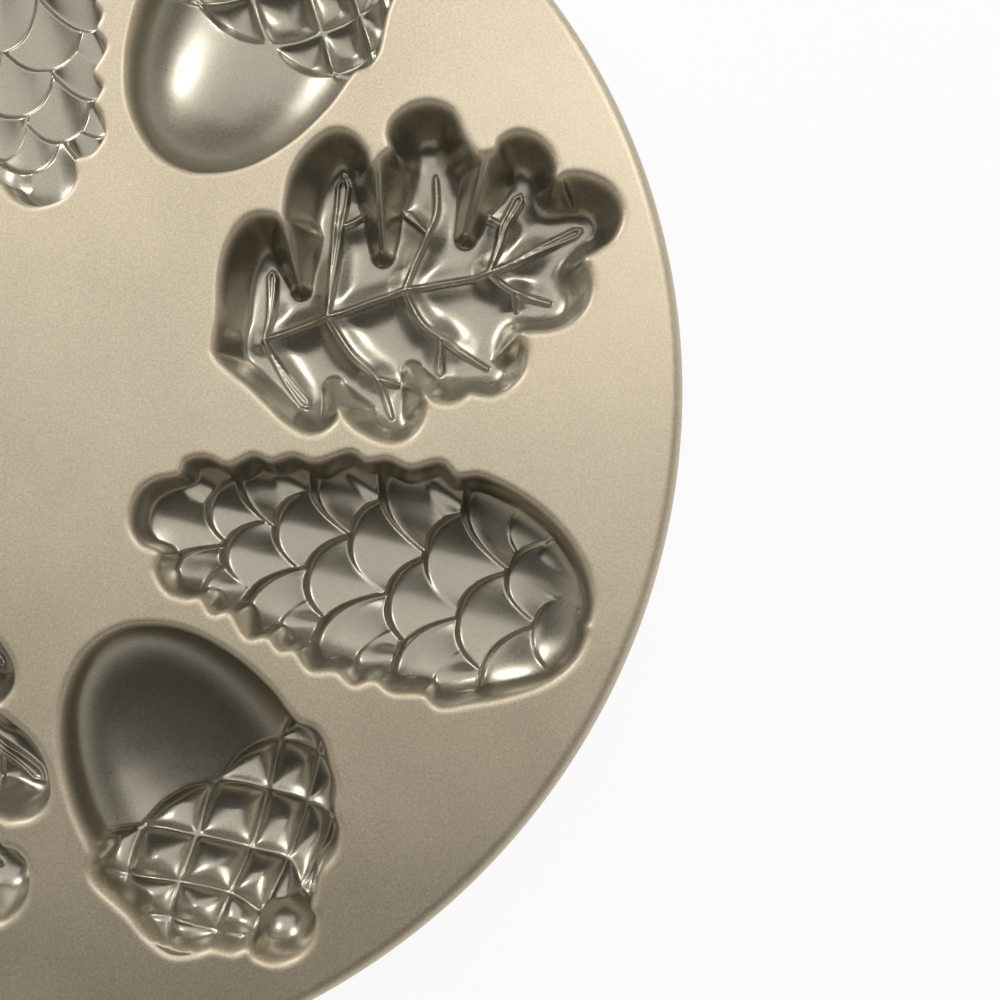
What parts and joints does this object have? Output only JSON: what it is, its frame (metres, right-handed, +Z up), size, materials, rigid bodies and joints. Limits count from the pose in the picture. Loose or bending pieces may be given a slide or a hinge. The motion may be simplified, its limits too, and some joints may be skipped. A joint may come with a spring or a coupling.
{
  "type": "cakelet pan",
  "caption": "Round cast cakelet pan with a rolled rim and sculpted acorn, oak leaf and pine cone cups sunk under a flat plate.",
  "frame": {"origin": "middle of the pan on the surface that it stands on", "axes": "+Z up out of the cups, square to the plate; +X towards the right of the picture, +Y towards its top"},
  "size_m": [0.28, 0.28, 0.0215],
  "materials": {
    "coated_casting": "satin champagne non-stick coat on cast aluminium"
  },
  "bodies": {
    "root": {"deck_plate": "coated_casting", "oak_leaf_cup_1": "coated_casting", "oak_leaf_cup_2": "coated_casting", "oak_leaf_cup_3": "coated_casting", "pine_cone_cup_1": "coated_casting", "pine_cone_cup_2": "coated_casting", "pine_cone_cup_3": "coated_casting", "acorn_cup_1": "coated_casting", "acorn_cup_2": "coated_casting", "acorn_cup_3": "coated_casting"}
  },
  "joints": []
}
